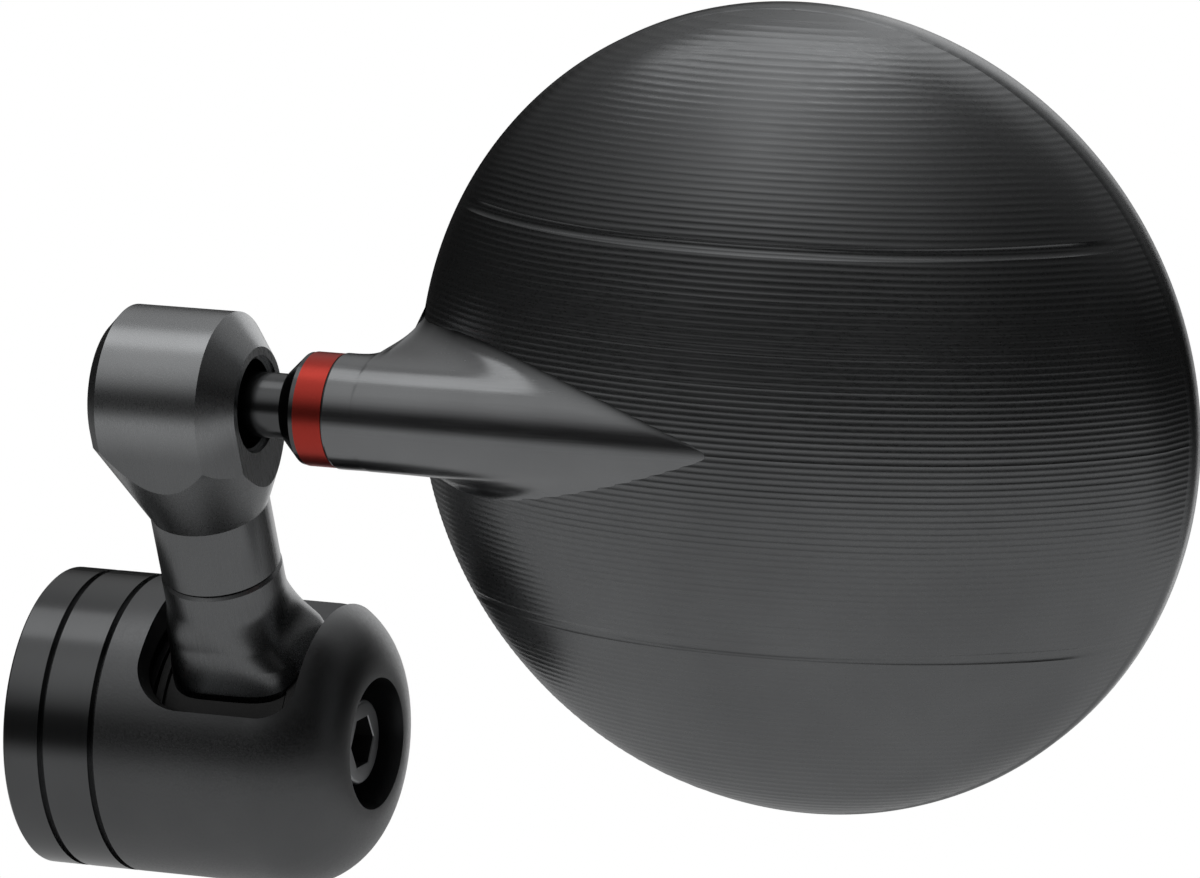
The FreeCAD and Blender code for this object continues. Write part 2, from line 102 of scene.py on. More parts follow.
# Heights along the stem between which the colour grows lighter to its painted highlight on the top, in mm
PAINTED_LIGHT_START = ARM_LENGTH - 2.5
PAINTED_LIGHT_END = ARM_LENGTH + 3.0


class Graph:
    """Node graph of one material, with short calls for the nodes used here."""

    def __init__(self, name: str) -> None:
        """Start an empty material.

        Args:
            name: Name of the material.
        """
        self.material = bpy.data.materials.new(name)
        self.material.use_nodes = True
        self.tree = self.material.node_tree
        self.tree.nodes.clear()
        self.output = self.tree.nodes.new("ShaderNodeOutputMaterial")

    def node(self, kind: str, props: Optional[dict] = None, **inputs: object) -> bpy.types.Node:
        """Add a node, set its properties and fill its inputs.

        Args:
            kind: Blender node type.
            props: Node properties by name.
            inputs: Socket values or sockets by input name, spaces as underscores, or _0, _1 by index.

        Returns:
            The new node.
        """
        made = self.tree.nodes.new(kind)
        for key, value in (props or {}).items():
            setattr(made, key, value)
        for key, value in inputs.items():
            socket = made.inputs[int(key[1:])] if key[0] == "_" else made.inputs[key.replace("_", " ")]
            if isinstance(value, Socket):
                self.tree.links.new(value, socket)
            else:
                socket.default_value = value
        return made

    def place(self) -> Socket:
        """Give the object coordinates in metres.

        Returns:
            The vector socket.
        """
        return self.node("ShaderNodeTexCoord").outputs["Object"]

    def laid(self, lay: Lay, stretch: float) -> Socket:
        """Give coordinates stretched along the marks of a lay.

        Args:
            lay: Direction of the marks.
            stretch: How many times longer than wide a mark is.

        Returns:
            The vector socket.
        """
        place = self.place()
        slow = 1.0 / stretch
        if lay is Lay.ALONG_X:
            return self.node("ShaderNodeMapping", Vector=place, Scale=(slow, 1.0, 1.0)).outputs[0]
        if lay is Lay.ALONG_STEM:
            spun = self.node("ShaderNodeVectorRotate", {"rotation_type": "X_AXIS"}, Vector=place,
                             Angle=-math.radians(ARM_LEAN)).outputs[0]
            return self.node("ShaderNodeMapping", Vector=spun, Scale=(1.0, 1.0, slow)).outputs[0]
        if lay is Lay.ROUND_X:
            split = self.node("ShaderNodeSeparateXYZ", Vector=place)
            flat = self.node("ShaderNodeCombineXYZ", Y=split.outputs["Y"], Z=split.outputs["Z"])
            far = self.node("ShaderNodeVectorMath", {"operation": "LENGTH"}, _0=flat.outputs[0])
            rolled = self.node("ShaderNodeCombineXYZ", X=split.outputs["X"], Y=far.outputs["Value"])
            return rolled.outputs[0]
        return place

    def noise(self, vector: Socket, scale: float, detail: float) -> Socket:
        """Give noise values about one half.

        Args:
            vector: Coordinates.
            scale: Marks per metre.
            detail: Octaves of detail.

        Returns:
            The value socket.
        """
        return self.node("ShaderNodeTexNoise", Vector=vector, Scale=scale, Detail=detail).outputs[0]

    def span(self, value: Socket, low: float, high: float) -> Socket:
        """Map a noise value from 0.25..0.75 to a range.

        Args:
            value: Noise value.
            low: Result at 0.25.
            high: Result at 0.75.

        Returns:
            The value socket.
        """
        return self.node("ShaderNodeMapRange", Value=value, From_Min=0.25, From_Max=0.75, To_Min=low,
                         To_Max=high).outputs[0]

    def shade(self, value: Socket, colour: tuple[float, float, float],
              spread: float) -> Socket:
        """Vary a colour with a noise value from 0.3 to 0.7.

        Args:
            value: Noise value.
            colour: Mean colour, linear.
            spread: Share by which it goes darker and lighter.

        Returns:
            The colour socket.
        """
        ramp = self.node("ShaderNodeValToRGB", Fac=value)
        ends = ramp.color_ramp.elements
        ends[0].position = 0.3
        ends[0].color = (*[c * (1.0 - spread) for c in colour], 1.0)
        ends[1].position = 0.7
        ends[1].color = (*[c * (1.0 + spread) for c in colour], 1.0)
        return ramp.outputs[0]

    def bump(self, height: Socket, depth: float,
             under: Optional[Socket] = None) -> Socket:
        """Turn a height into a normal.

        Args:
            height: Height value.
            depth: Depth of the marks in metres.
            under: Normal that lies under these marks.

        Returns:
            The normal socket.
        """
        made = self.node("ShaderNodeBump", Height=height, Distance=depth, Strength=1.0)
        if under is not None:
            self.tree.links.new(under, made.inputs["Normal"])
        return made.outputs[0]

    def close(self, shader: bpy.types.Node) -> bpy.types.Material:
        """Join the shader to the output.

        Args:
            shader: Shader node.

        Returns:
            The finished material.
        """
        self.tree.links.new(shader.outputs[0], self.output.inputs["Surface"])
        return self.material


@dataclass(frozen=True)
class Finish:
    """A surface finish made of marks, blotches and fine grain.

    Args:
        name: Name of the material.
        colour: Mean base colour, linear.
        rough: Mean roughness.
        metallic: Metallic value.
        lay: Direction of the marks.
        marks: Marks per metre.
        stretch: Length of a mark over its width.
        depth: Depth of the marks in metres.
        rough_spread: How far the roughness varies.
        tint_spread: Share by which the colour varies.
        painted_top_light: Factor of the colour above the ball centre, along the stem, a painted highlight
            on the top of the head.
    """

    name: str
    colour: tuple[float, float, float]
    rough: float
    metallic: float = 1.0
    lay: Lay = Lay.GRAIN
    marks: float = 5000.0
    stretch: float = 40.0
    depth: float = 2e-6
    rough_spread: float = 0.06
    tint_spread: float = 0.08
    painted_top_light: float = 1.0

    def material(self) -> bpy.types.Material:
        """Build the material.

        Returns:
            The material.
        """
        g = Graph(self.name)
        marks = g.noise(g.laid(self.lay, self.stretch), self.marks, detail=4.0)
        grain = g.noise(g.place(), GRAIN_MARKS, detail=2.0)
        blotch = g.noise(g.place(), BLOTCH_MARKS, detail=3.0)
        normal = g.bump(marks, self.depth, g.bump(grain, self.depth * GRAIN_SHARE))
        colour = g.shade(blotch, self.colour, self.tint_spread)
        # Painted highlight: the colour grows lighter above the ball centre, on the top of the head where
        # the light falls
        if self.painted_top_light != 1.0:
            height = g.node("ShaderNodeSeparateXYZ", Vector=g.laid(Lay.ALONG_STEM, 1.0)).outputs["Z"]
            level = g.node("ShaderNodeMapRange", {"interpolation_type": "SMOOTHSTEP"}, Value=height,
                           From_Min=PAINTED_LIGHT_START * MM, From_Max=PAINTED_LIGHT_END * MM, To_Min=1.0,
                           To_Max=self.painted_top_light).outputs[0]
            painted_lit_colour = g.node("ShaderNodeVectorMath", {"operation": "SCALE"}, _0=colour, Scale=level)
            colour = painted_lit_colour.outputs[0]
        least = max(self.rough - self.rough_spread, LEAST_ROUGH)
        shader = g.node(
            "ShaderNodeBsdfPrincipled",
            Base_Color=colour,
            Metallic=self.metallic,
            Roughness=g.span(marks, least, self.rough + self.rough_spread),
            Normal=normal,
        )
        return g.close(shader)


def grey(value: float, blue: float = 1.04) -> tuple[float, float, float]:
    """Give a slightly cool grey.

    Args:
        value: Linear grey level.
        blue: Factor of the blue channel.

    Returns:
        Linear colour.
    """
    return (value, value * (1.0 + blue) / 2.0, value * blue)


RING_BLACK = Finish("turned black", grey(0.14), 0.20, lay=Lay.ROUND_X, marks=6000.0, depth=1.5e-6)
HOUSING_BLACK = Finish("blasted black", grey(0.15), 0.36, marks=4200.0, depth=9e-6, rough_spread=0.08)
SCREW_STEEL = Finish("black oxide steel", grey(0.40), 0.36, marks=7000.0, depth=4e-6)
SATIN_STEEL = Finish("satin steel", grey(0.30), 0.32, lay=Lay.ROUND_X, marks=8000.0)
SPRING_STEEL = Finish("spring steel", grey(0.16), 0.34, lay=Lay.ROUND_X, marks=8000.0)
POLYMER = Finish("friction polymer", grey(0.03, 1.0), 0.55, metallic=0.0, depth=6e-6)
ARM_GREY = Finish("brushed dark grey", grey(0.20), 0.29, lay=Lay.ALONG_STEM, marks=7000.0, stretch=30.0,
                  depth=3e-6)
# The head's top carries a painted highlight, a lighter colour above the ball centre
HEAD_GREY = Finish("turned and brushed dark grey, painted top highlight", grey(0.20), 0.29, lay=Lay.ALONG_STEM, marks=7000.0,
                   stretch=30.0, depth=3e-6, painted_top_light=1.9)
BRONZE = Finish("turned bronze", (0.50, 0.32, 0.14), 0.30, lay=Lay.ROUND_X)
# Painted shade: near black put on the drum in the window and in the screw's socket, where there is only
# shade
PAINTED_SHADE_BLACK = Finish("painted shade black", grey(0.02, 1.0), 0.50, metallic=0.0, depth=6e-6)
RUBBER = Finish("seal rubber", grey(0.02, 1.0), 0.60, metallic=0.0, depth=8e-6)
STUD_GREY = Finish("turned dark steel", grey(0.13), 0.22, lay=Lay.ROUND_X, marks=7000.0)
RED = Finish("red anodised", (0.56, 0.06, 0.045), 0.33, lay=Lay.ROUND_X, marks=6000.0, tint_spread=0.05)
SHELL_GREY = Finish("milled dark grey", grey(0.20), 0.30, lay=Lay.ALONG_X, marks=5200.0, stretch=60.0,
                    depth=1.5e-6)
STALK_GREY = Finish("polished dark grey", grey(0.27), 0.22, lay=Lay.ALONG_X, marks=6500.0, stretch=80.0,
                    depth=2e-6)
FOAM = Finish("foam tape", grey(0.02, 1.0), 0.70, metallic=0.0, depth=1.2e-5)
SILVERED = Finish("silvered glass", (0.86, 0.89, 0.92), 0.02, marks=300.0, depth=2e-8, rough_spread=0.008,
                  tint_spread=0.01)

CAD_FINISHES: dict[str, Finish] = {
    "bar_spacer_ring": RING_BLACK,
    "housing_spacer_ring": RING_BLACK,
    "bar_end_housing": HOUSING_BLACK,
    "clamp_screw": SCREW_STEEL,
    "screw_washer": SATIN_STEEL,
    "hub_nut": SATIN_STEEL,
    "backing_washer": SATIN_STEEL,
    "disc_springs": SPRING_STEEL,
    "inner_friction_washer": POLYMER,
    "outer_friction_washer": POLYMER,
    "arm_foot": ARM_GREY,
    "foot_bush": BRONZE,
    "swivel_grub_screw": SCREW_STEEL,
    "arm_head": HEAD_GREY,
    "swivel_o_ring": RUBBER,
    "ball_rear_seat": POLYMER,
    "ball_seat_spring": SPRING_STEEL,
    "ball_retaining_ring": RING_BLACK,
    "ball_stud": STUD_GREY,
    "accent_ring": RED,
    "mirror_shell": SHELL_GREY,
    "stalk_grub_screw": SCREW_STEEL,
    "glass_adhesive_ring": FOAM,
    "mirror_glass": SILVERED,
}


class Skin:
    """Collects grids of points into one mesh, each grid with its own material."""

    def __init__(self, name: str) -> None:
        """Start an empty skin.

        Args:
            name: Name of the object to be made.
        """
        self.name = name
        self.points: list[np.ndarray] = []
        self.quads: list[np.ndarray] = []
        self.tris: list[np.ndarray] = []
        self.quad_slots: list[np.ndarray] = []
        self.tri_slots: list[np.ndarray] = []
        self.count = 0

    def add(self, points: np.ndarray, quads: np.ndarray, tris: np.ndarray, slot: int) -> None:
        """Add one closed island.

        Args:
            points: Points in mm, one row each.
            quads: Corner numbers, four a row.
            tris: Corner numbers, three a row.
            slot: Material slot.
        """
        split = np.concatenate([quads[:, [0, 1, 2]], quads[:, [0, 2, 3]], tris])
        a, b, c = (points[split[:, k]] for k in range(3))
        if np.einsum("ij,ij->i", a, np.cross(b, c)).sum() < 0.0:
            quads = quads[:, ::-1]
            tris = tris[:, ::-1]
        self.points.append(points)
        self.quads.append(quads + self.count)
        self.tris.append(tris + self.count)
        self.quad_slots.append(np.full(len(quads), slot))
        self.tri_slots.append(np.full(len(tris), slot))
        self.count += len(points)

    def tube(self, rings: np.ndarray, slot: int) -> None:
        """Add a tube of rings that is closed round and capped at both ends.

        Args:
            rings: Array of stations, points round and x, y, z in mm.
            slot: Material slot.
        """
        n, m = rings.shape[:2]
        number = np.arange(n * m).reshape(n, m)
        turned = np.roll(number, -1, axis=1)
        quads = np.stack([number[:-1], turned[:-1], turned[1:], number[1:]], axis=-1).reshape(-1, 4)
        ends = np.array([n * m, n * m + 1])
        first = np.stack([turned[0], number[0], np.full(m, ends[0])], axis=-1)
        last = np.stack([number[-1], turned[-1], np.full(m, ends[1])], axis=-1)
        middles = np.stack([rings[0].mean(0), rings[-1].mean(0)])
        points = np.concatenate([rings.reshape(-1, 3), middles])
        self.add(points, quads, np.concatenate([first, last]), slot)

    def hoop(self, rings: np.ndarray, slot: int) -> None:
        """Add a ring of rings, closed both ways.

        Args:
            rings: Array of stations, points round and x, y, z in mm.
            slot: Material slot.
        """
        n, m = rings.shape[:2]
        number = np.arange(n * m).reshape(n, m)
        onward = np.roll(number, -1, axis=0)
        turned = np.roll(number, -1, axis=1)
        both = np.roll(onward, -1, axis=1)
        quads = np.stack([number, turned, both, onward], axis=-1).reshape(-1, 4)
        self.add(rings.reshape(-1, 3), quads, np.empty((0, 3), dtype=int), slot)

    def build(self, pose: Pose, finishes: list[Finish], sharp: float = 32.0) -> bpy.types.Object:
        """Make the object.

        Args:
            pose: Frame in which the points were given.
            finishes: Finish of each material slot.
            sharp: Angle in degrees beyond which an edge stays sharp.

        Returns:
            The object, linked to the scene.
        """
        points = pose.apply(np.concatenate(self.points))
        faces = np.concatenate(self.quads).tolist() + np.concatenate(self.tris).tolist()
        mesh = bpy.data.meshes.new(self.name)
        mesh.from_pydata(points.tolist(), [], faces)
        for finish in finishes:
            mesh.materials.append(finish.material())
        slots = np.concatenate(self.quad_slots + self.tri_slots).astype(np.int32)
        mesh.polygons.foreach_set("material_index", slots)
        mesh.polygons.foreach_set("use_smooth", np.ones(len(faces), dtype=bool))
        mesh.set_sharp_from_angle(angle=math.radians(sharp))
        mesh.update()
        made = bpy.data.objects.new(self.name, mesh)
        bpy.context.scene.collection.objects.link(made)
        return made


def turned_rings(profile: np.ndarray, steps: int) -> np.ndarray:
    """Turn a profile about X.

    The point of station k at angle a is (x_k, r_k sin a, r_k cos a).

    Args:
        profile: Pairs of x and radius in mm, one row each.
        steps: Points round the axis.

    Returns:
        Array of stations, points round and x, y, z.
    """
    angle = np.linspace(0.0, 2.0 * np.pi, steps, endpoint=False)
    x = np.repeat(profile[:, :1], steps, axis=1)
    return np.stack([x, profile[:, 1:] * np.sin(angle), profile[:, 1:] * np.cos(angle)], axis=-1)


@dataclass(frozen=True)
class Studio:
    """Floor, soft tent of light, lamp, white backdrop and camera.

    Args:
        azimuth: Camera azimuth in degrees.
        elevation: Camera elevation in degrees.
        distance: Distance of the camera from its target in mm.
        target: Point in the middle of the picture in mm.
        lens: Focal length in mm for a sensor 36 mm wide.
        floor_height: Height of the floor in mm.
        floor_radius: Radius of the floor in mm.
        floor_glow: Share of white that metal sees in the floor.
        tent_radius: Radius of the tent in mm.
    """

    azimuth: float = 22.38
    elevation: float = 11.36
    distance: float = 1000.0
    target: tuple[float, float, float] = (68.15, 0.0, 38.38)
    lens: float = 261.9
    floor_height: float = -150.0
    floor_radius: float = 450.0
    floor_glow: float = 0.26
    tent_radius: float = 2600.0

    def build(self) -> None:
        """Make the stage, the light and the camera."""
        self.build_world()
        self.build_floor()
        self.build_tent()
        self.build_lamp()
        self.build_camera()

    def build_world(self) -> None:
        """Make the white backdrop that surrounds everything."""
        world = bpy.data.worlds.new("white backdrop")
        world.use_nodes = True
        back = world.node_tree.nodes["Background"]
        back.inputs["Color"].default_value = (1.0, 1.0, 1.0, 1.0)
        back.inputs["Strength"].default_value = 1.0
        bpy.context.scene.world = world
        bpy.context.scene.view_settings.view_transform = "Standard"

    def build_floor(self) -> None:
        """Make the round pale floor.

        Its edge at angle a is (x0 + r cos a, r sin a, height), with x0 from the camera's target.
        """
        g = Graph("pale floor")
        tone = g.noise(g.place(), 25.0, 3.0)
        shader = g.node("ShaderNodeBsdfPrincipled", Base_Color=g.shade(tone, (0.62, 0.62, 0.62), 0.02),
                        Roughness=0.8, Specular_IOR_Level=0.1)
        seen = g.node("ShaderNodeLightPath").outputs["Is Glossy Ray"]
        share = g.node("ShaderNodeMath", {"operation": "MULTIPLY"}, _0=seen, _1=self.floor_glow).outputs[0]
        glow = g.node("ShaderNodeEmission", Color=(1.0, 1.0, 1.0, 1.0), Strength=1.0)
        both = g.node("ShaderNodeMixShader", Fac=share, _1=shader.outputs[0], _2=glow.outputs[0])
        material = g.close(both)
        steps = 96
        angle = np.linspace(0.0, 2.0 * np.pi, steps, endpoint=False)
        x = self.target[0] + self.floor_radius * np.cos(angle)
        y = self.floor_radius * np.sin(angle)
        points = np.stack([x, y, np.full(steps, self.floor_height)], axis=-1) * MM
        mesh = bpy.data.meshes.new("floor")
        mesh.from_pydata(points.tolist(), [], [list(range(steps))])
        mesh.materials.append(material)
        floor = bpy.data.objects.new("floor", mesh)
        bpy.context.scene.collection.objects.link(floor)

    def build_tent(self) -> None:
        """Make the tent of soft light, open at the back.

        Its point at azimuth a and elevation e is R (sin a cos e, -cos a cos e, sin e), with a from -165 to
        165 degrees. The light is bright overhead, dark at the horizon and pale below. By the bearing it is
        brightest left of the front and weak on the right. Below a height of 0.1 to 0.4 m it is weaker
        towards the back instead.
        """
        g = Graph("soft tent")
        split = g.node("ShaderNodeSeparateXYZ", Vector=g.place())
        height = split.outputs["Z"]
        share = g.node("ShaderNodeMapRange", Value=height, From_Min=-self.tent_radius * MM,
                       From_Max=self.tent_radius * MM).outputs[0]
        ramp = g.node("ShaderNodeValToRGB", Fac=share)
        stops = [(-90.0, 0.6), (-45.0, 0.62), (-30.0, 0.6), (-20.0, 0.45), (-13.0, 0.2), (-8.0, 0.03),
                 (12.0, 0.03), (20.0, 0.18), (30.0, 0.36), (40.0, 0.48), (62.0, 0.72), (75.0, 0.85),
                 (90.0, 0.95)]
        self.fill(ramp, [((math.sin(math.radians(tilt)) + 1.0) / 2.0, level) for tilt, level in stops])
        ahead = g.node("ShaderNodeMath", {"operation": "MULTIPLY"}, _0=split.outputs["Y"], _1=-1.0)
        bearing = g.node("ShaderNodeMath", {"operation": "ARCTAN2"}, _0=split.outputs["X"],
                         _1=ahead.outputs[0])
        turn = g.node("ShaderNodeMapRange", Value=bearing.outputs[0], From_Min=-math.pi,
                      From_Max=math.pi).outputs[0]
        side = g.node("ShaderNodeValToRGB", Fac=turn)
        bearings = [(-165.0, 1.0), (-130.0, 0.5), (-100.0, 0.3), (-70.0, 0.45), (-45.0, 0.75), (-26.0, 1.3),
                    (-18.0, 1.2), (-10.0, 0.95), (5.0, 0.6), (25.0, 0.3), (45.0, 0.17), (100.0, 0.2),
                    (130.0, 0.5), (165.0, 1.0)]
        self.fill(side, [(at / 360.0 + 0.5, level) for at, level in bearings])
        under = g.node("ShaderNodeValToRGB", Fac=turn)
        self.fill(under, [(0.18, 0.45), (0.27, 1.0), (0.73, 1.0), (0.82, 0.45)])
        above = g.node("ShaderNodeMapRange", {"interpolation_type": "SMOOTHSTEP"}, Value=height,
                       From_Min=0.1, From_Max=0.4).outputs[0]
        level = g.node("ShaderNodeMix", {"data_type": "FLOAT"}, Factor=above, _2=under.outputs[0],
                       _3=side.outputs[0]).outputs[0]
        shader = g.node("ShaderNodeEmission", Color=ramp.outputs[0], Strength=level)
        material = g.close(shader)
        rows, columns, end = 61, 91, 165.0
        around = np.radians(np.linspace(-end, end, columns))
        up = np.radians(np.linspace(-89.0, 89.0, rows))
        a, e = np.meshgrid(around, up)
        away = np.stack([np.sin(a) * np.cos(e), -np.cos(a) * np.cos(e), np.sin(e)], axis=-1)
        points = self.tent_radius * MM * away
        number = np.arange(rows * columns).reshape(rows, columns)
        quads = np.stack([number[:-1, :-1], number[1:, :-1], number[1:, 1:], number[:-1, 1:]], axis=-1)
        mesh = bpy.data.meshes.new("tent")
        mesh.from_pydata(points.reshape(-1, 3).tolist(), [], quads.reshape(-1, 4).tolist())
        mesh.materials.append(material)
        tent = bpy.data.objects.new("tent", mesh)
        tent.visible_camera = False
        bpy.context.scene.collection.objects.link(tent)

    @staticmethod
    def fill(ramp: bpy.types.Node, stops: list[tuple[float, float]]) -> None:
        """Fill a colour ramp with grey stops.

        Args:
            ramp: Colour ramp node.
            stops: Position and level of each stop, in order.
        """
        ends = ramp.color_ramp.elements
        while len(ends) < len(stops):
            ends.new(0.5)
        for end, (position, level) in zip(ends, stops):
            end.position = position
            end.color = (level, level, level, 1.0)

    def build_lamp(self) -> None:
        """Make the long soft lamp over the object."""
        data = bpy.data.lights.new("top lamp", "AREA")
        data.shape = "RECTANGLE"
        data.size = 1.2
        data.size_y = 0.6
        data.energy = 1.7
        lamp = bpy.data.objects.new("top lamp", data)
        lamp.location = (-0.42, -0.05, 1.2)
        lamp.visible_camera = False
        bpy.context.scene.collection.objects.link(lamp)

    def build_camera(self) -> None:
        """Make the camera at the photograph's viewing angle."""
        a = math.radians(self.azimuth)
        e = math.radians(self.elevation)
        right = Vector((math.cos(a), math.sin(a), 0.0))
        up = Vector((-math.sin(a) * math.sin(e), math.cos(a) * math.sin(e), math.cos(e)))
        back = Vector((math.sin(a) * math.cos(e), -math.cos(a) * math.cos(e), math.sin(e)))
        eye = (Vector(self.target) + back * self.distance) * MM
        data = bpy.data.cameras.new("camera")
        data.sensor_width = 36.0
        data.sensor_fit = "HORIZONTAL"
        data.lens = self.lens
        data.clip_start = 0.05
        data.clip_end = 20.0
        camera = bpy.data.objects.new("camera", data)
        turn = Matrix((right, up, back)).transposed().to_4x4()
        camera.matrix_world = Matrix.Translation(eye) @ turn
        bpy.context.scene.collection.objects.link(camera)
        bpy.context.scene.camera = camera


@dataclass(frozen=True)
class MirrorHead:
    """The machined shell: domed disc with scallops and grooves, and the stalk that blends into it.

    Args:
        disc_radius: Radius of the disc in mm.
        disc_at: Disc centre in the mirror's frame.
        rise: Height of the dome over the plane of the disc centre.
        arcs: Radius of each arc of the dome's profile and the slope in degrees at which it ends.
        rim_depth: Depth of the rim behind the disc centre.
        stalk_radius: Radius of the stalk.
        stalk_start: Where the stalk starts, from the ball centre.
        pitch: Spacing of the milled passes.
        tool: Radius of the cutter's corner, which the scallops show.
        cutter: Radius by which the cutter's path stands off the surface.
        grooves: Heights of the two grooves.
        groove_radius: Radius of the groove section.
        groove_half: Half width of the grooves.
        tip_lift: How much fuller the stalk grows until it runs out in the dome.
        fillet: Radius of the fillet between stalk and dome.
        draft: Lean of the web's flanks in degrees.
        creases: Stations and turns in degrees at which the hollow leaves the stalk.
        rim_at: Distance from the disc axis at which the stalk meets the rim.
    """

    disc_radius: float = 47.0
    disc_at: tuple[float, float, float] = (69.1, 14.699, 0.0)
    rise: float = 21.999
    arcs: tuple[tuple[float, float], ...] = ((78.02, 18.0), (47.0, 45.0), (14.711, 75.0))
    rim_depth: float = 3.2
    stalk_radius: float = 6.65
    stalk_start: float = 19.3
    pitch: float = 0.79
    tool: float = 2.15
    cutter: float = 6.0
    grooves: tuple[float, float] = (23.03, -23.03)
    groove_radius: float = 1.54
    groove_half: float = 0.7
    tip_lift: float = 0.607
    fillet: float = 2.8
    draft: float = 8.0
    creases: tuple[tuple[float, float], ...] = (
        (22.9, 80.0), (27.0, 76.0), (34.7, 62.0), (42.0, 47.0), (52.0, 30.0), (66.4, 3.0),
    )
    rim_at: float = 46.2

    def profile(self, r: np.ndarray) -> tuple[np.ndarray, np.ndarray]:
        """Give the dome's profile, arcs that follow one another with a common tangent.

        On arc k, sin(slope) = sin(slope_k) + (r - r_k) / R_k and y = y_k + R_k (cos(slope_k) - cos(slope)).

        Args:
            r: Distance from the disc axis in mm.

        Returns:
            y in the disc's frame, negative towards the front, and the sine of the slope.
        """
        y = np.full_like(r, -self.rise)
        sine = np.zeros_like(r)
        r0, y0, tilt0 = 0.0, -self.rise, 0.0
        for radius, end in self.arcs:
            tilt = math.radians(end)
            here = r >= r0 - 1e-9
            sine = np.where(here, np.clip(math.sin(tilt0) + (r - r0) / radius, 0.0, math.sin(tilt)), sine)
            y = np.where(here, y0 + radius * (math.cos(tilt0) - np.sqrt(1.0 - sine ** 2)), y)
            r0 += radius * (math.sin(tilt) - math.sin(tilt0))
            y0 += radius * (math.cos(tilt0) - math.cos(tilt))
            tilt0 = tilt
        return y, sine

    def edge(self) -> float:
        """Give the radius at which the milled dome ends.

        Returns:
            Radius in mm.
        """
        r0, last = 0.0, 0.0
        for radius, end in self.arcs:
            r0 += radius * (math.sin(math.radians(end)) - last)
            last = math.sin(math.radians(end))
        return r0

    def scallop(self, z: np.ndarray, normal_z: np.ndarray) -> np.ndarray:
        """Give the depth of the scallops, from passes at equal heights of the cutter.

        With q = z + c n_z and s the distance of q from the middle of its pass, the depth is
        h - (t - sqrt(t^2 - s^2)), where h is the height of the cusps. Passes are wider and narrower by
        turns, and the wider one takes the larger share of a pair.

        Args:
            z: Height in the disc's frame.
            normal_z: z part of the surface normal.

        Returns:
            Depth below the crests in mm.
        """
        q = (z + self.cutter * normal_z) / (2.0 * self.pitch)
        share = q - np.floor(q)
        wide = 0.54
        middle = np.where(share < wide, wide / 2.0, (1.0 + wide) / 2.0)
        s = (share - middle) * 2.0 * self.pitch
        cusp = self.tool - math.sqrt(self.tool ** 2 - (wide * self.pitch) ** 2)
        return cusp - (self.tool - np.sqrt(self.tool ** 2 - s ** 2))

    def groove_depth(self, x: np.ndarray, z: np.ndarray) -> np.ndarray:
        """Give the depth of the two grooves, shallow arcs in section that fade at the rim.

        With s the distance from the middle of a groove, the depth is sqrt(R^2 - s^2) - sqrt(R^2 - h^2).

        Args:
            x: x in the disc's frame.
            z: z in the disc's frame.

        Returns:
            Depth in mm.
        """
        depth = np.zeros_like(x)
        end, fade_length = 44.7, 0.8
        fade = np.clip((end - np.hypot(x, z)) / fade_length, 0.0, 1.0)
        border = math.sqrt(self.groove_radius ** 2 - self.groove_half ** 2)
        for height in self.grooves:
            s = np.minimum(np.abs(z - height), self.groove_half)
            sag = np.sqrt(self.groove_radius ** 2 - s ** 2) - border
            depth = np.maximum(depth, sag * fade)
        return depth

    def rows(self, edge: float) -> np.ndarray:
        """Give the heights of the rows of the dome, close together at the grooves and at the poles.

        Args:
            edge: Radius at which the dome ends.

        Returns:
            Heights in mm from the lower pole to the upper one, poles left out.
        """
        high, step, margin, lip = 41.0, 0.125, 0.15, 0.02
        middle = np.arange(-high, high + 0.01, step)
        tilt = np.linspace(math.asin(high / edge), math.pi / 2.0, 90)[1:-1]
        parts = [middle, edge * np.sin(tilt), -edge * np.sin(tilt)]
        for height in self.grooves:
            near = np.abs(parts[0] - height) < self.groove_half + margin
            parts[0] = parts[0][~near]
            parts.append(height + self.groove_half * np.linspace(-1.0, 1.0, 19))
            parts.append(height + (self.groove_half + lip) * np.array([-1.0, 1.0]))
        return np.sort(np.concatenate(parts))

    def disc(self, skin: Skin) -> None:
        """Add the disc: rows of the dome, then the rim carried outward from their ends.

        A row at height z has x = a(z) u with a = sqrt(E^2 - z^2) and u from -1 to 1. Each point is sunk
        along the dome's normal by the scallop and groove depth. The rim loops turn the profile of the side,
        bezel, ledge and hollow about the disc axis, starting from the ends of the rows.

        Args:
            skin: Skin that receives the island.
        """
        edge = self.edge()
        z1 = self.rows(edge)
        columns = 65
        u = np.linspace(-1.0, 1.0, columns)
        x = np.sqrt(edge ** 2 - z1[:, None] ** 2) * u[None, :]
        z = np.repeat(z1[:, None], columns, axis=1)
        r = np.maximum(np.hypot(x, z), 1e-6)
        y, sine = self.profile(r)
        normal = np.stack([sine * x / r, -np.sqrt(1.0 - sine ** 2), sine * z / r], axis=-1)
        sink = self.scallop(z, normal[..., 2]) + self.groove_depth(x, z)
        grid = np.stack([x, y, z], axis=-1) - normal * sink[..., None]
        n = len(z1)
        number = np.arange(n * columns).reshape(n, columns)
        quads = [np.stack([number[:-1, :-1], number[:-1, 1:], number[1:, 1:], number[1:, :-1]],
                          axis=-1).reshape(-1, 4)]
        edge_y = float(self.profile(np.array([edge]))[0][0])
        poles = np.array([[0.0, edge_y, -edge], [0.0, edge_y, edge]])
        low, high = n * columns, n * columns + 1
        tris = [
            np.stack([number[0, 1:], number[0, :-1], np.full(columns - 1, low)], axis=-1),
            np.stack([number[-1, :-1], number[-1, 1:], np.full(columns - 1, high)], axis=-1),
        ]
        loop = np.concatenate([[low], number[:, -1], [high], number[::-1, 0]])
        base = np.concatenate([grid.reshape(-1, 3), poles])
        rest = base[loop]
        angle = np.arctan2(rest[:, 2], rest[:, 0])
        pocket, hub_depth = 2.7, -18.9
        back = self.rim_depth
        ledge = back - pocket
